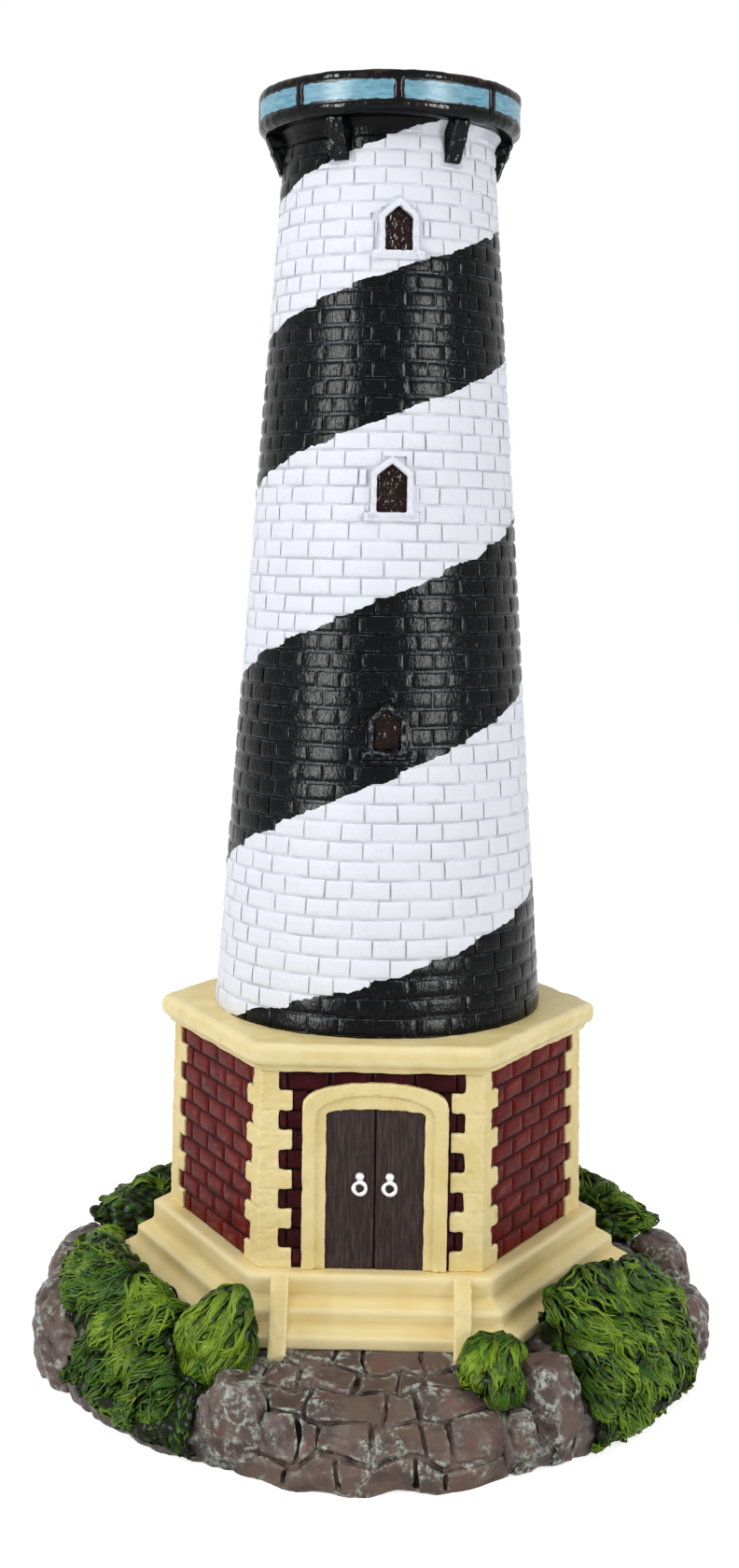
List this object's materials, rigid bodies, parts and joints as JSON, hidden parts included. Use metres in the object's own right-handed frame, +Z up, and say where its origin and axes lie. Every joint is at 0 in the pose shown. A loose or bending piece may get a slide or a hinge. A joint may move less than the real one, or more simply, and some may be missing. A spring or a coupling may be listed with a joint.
{
  "type": "garden lighthouse ornament",
  "caption": "Garden lighthouse ornament: tapered brick tower with a spiral band on a six-sided brick house, steps, rocks and grass, with a drop-in solar lamp.",
  "frame": {"origin": "centre of the flat underside", "axes": "+Z up along the tower's axis; the door faces -Y; +X is to the right as the door is faced"},
  "size_m": [0.225, 0.2232, 0.4064],
  "materials": {
    "stone": "painted cast resin, dry-brushed",
    "grass": "painted cast resin, gloss",
    "cream": "painted cast resin, satin",
    "brick": "painted cast resin, satin",
    "door": "painted cast resin, satin",
    "silver": "silver paint on cast resin",
    "tower": "white and black gloss paint on cast resin",
    "pane": "gloss dark brown paint",
    "black": "gloss black paint on cast resin",
    "blue": "light blue paint on cast resin",
    "plastic": "moulded, fine texture",
    "rubber": "matt",
    "board": "lacquered circuit board",
    "emitter": "light emitter",
    "lens": "clear moulded plastic",
    "solar": "dark solar cell under clear resin",
    "battery": "printed sleeve, plain",
    "contact": "nickel plated spring steel",
    "steel": "zinc plated"
  },
  "bodies": {
    "ornament": {"ground_base": "stone", "flagstone_path": "stone", "boulder_front_left": "stone", "boulder_front_right": "stone", "boulder_right": "stone", "rim_rocks": "stone", "grass_tuft_left": "grass", "grass_tuft_right": "grass", "grass_bank_left": "grass", "grass_bank_right": "grass", "grass_bank_back_left": "grass", "grass_bank_back_right": "grass", "stepped_plinth": "cream", "stringer_left": "cream", "stringer_right": "cream", "house_wall": "cream", "cornice_slab": "cream", "door_surround": "cream", "door_leaf_left": "door", "door_leaf_right": "door", "ring_handle_left": "silver", "ring_handle_right": "silver", "tower_shell": "tower", "gallery_ring": "black", "gallery_panels": "blue", "brick_panel_1": "brick", "corner_quoin_1": "cream", "gallery_bracket_1": "black", "brick_panel_2": "brick", "corner_quoin_2": "cream", "gallery_bracket_2": "black", "brick_panel_3": "brick", "corner_quoin_3": "cream", "gallery_bracket_3": "black", "brick_panel_4": "brick", "corner_quoin_4": "cream", "gallery_bracket_4": "black", "brick_panel_5": "brick", "corner_quoin_5": "cream", "gallery_bracket_5": "black", "brick_panel_6": "brick", "corner_quoin_6": "cream", "gallery_bracket_6": "black", "window_frame_1": "tower", "window_pane_1": "pane", "window_frame_2": "tower", "window_pane_2": "pane", "window_frame_3": "tower", "window_pane_3": "pane"},
    "lamp_unit": {"lamp_housing": "plastic", "lamp_seal": "rubber", "circuit_board": "board", "light_emitters": "emitter", "light_ring": "lens", "solar_cell": "solar", "battery_cell": "battery", "battery_contacts": "contact"},
    "battery_cover": {"battery_door": "plastic", "door_screw": "steel"},
    "switch": {"switch_slider": "plastic"}
  },
  "joints": [
    {"name": "lamp_lift", "type": "slide", "parent": "ornament", "child": "lamp_unit", "axis": [0, 0, 1], "range_m": [0, 0.06]},
    {"name": "cover_drop", "type": "slide", "parent": "lamp_unit", "child": "battery_cover", "axis": [0, 0, -1], "range_m": [0, 0.02]},
    {"name": "switch_slide", "type": "slide", "parent": "lamp_unit", "child": "switch", "axis": [1, 0, 0], "range_m": [0, 0.0032]}
  ]
}
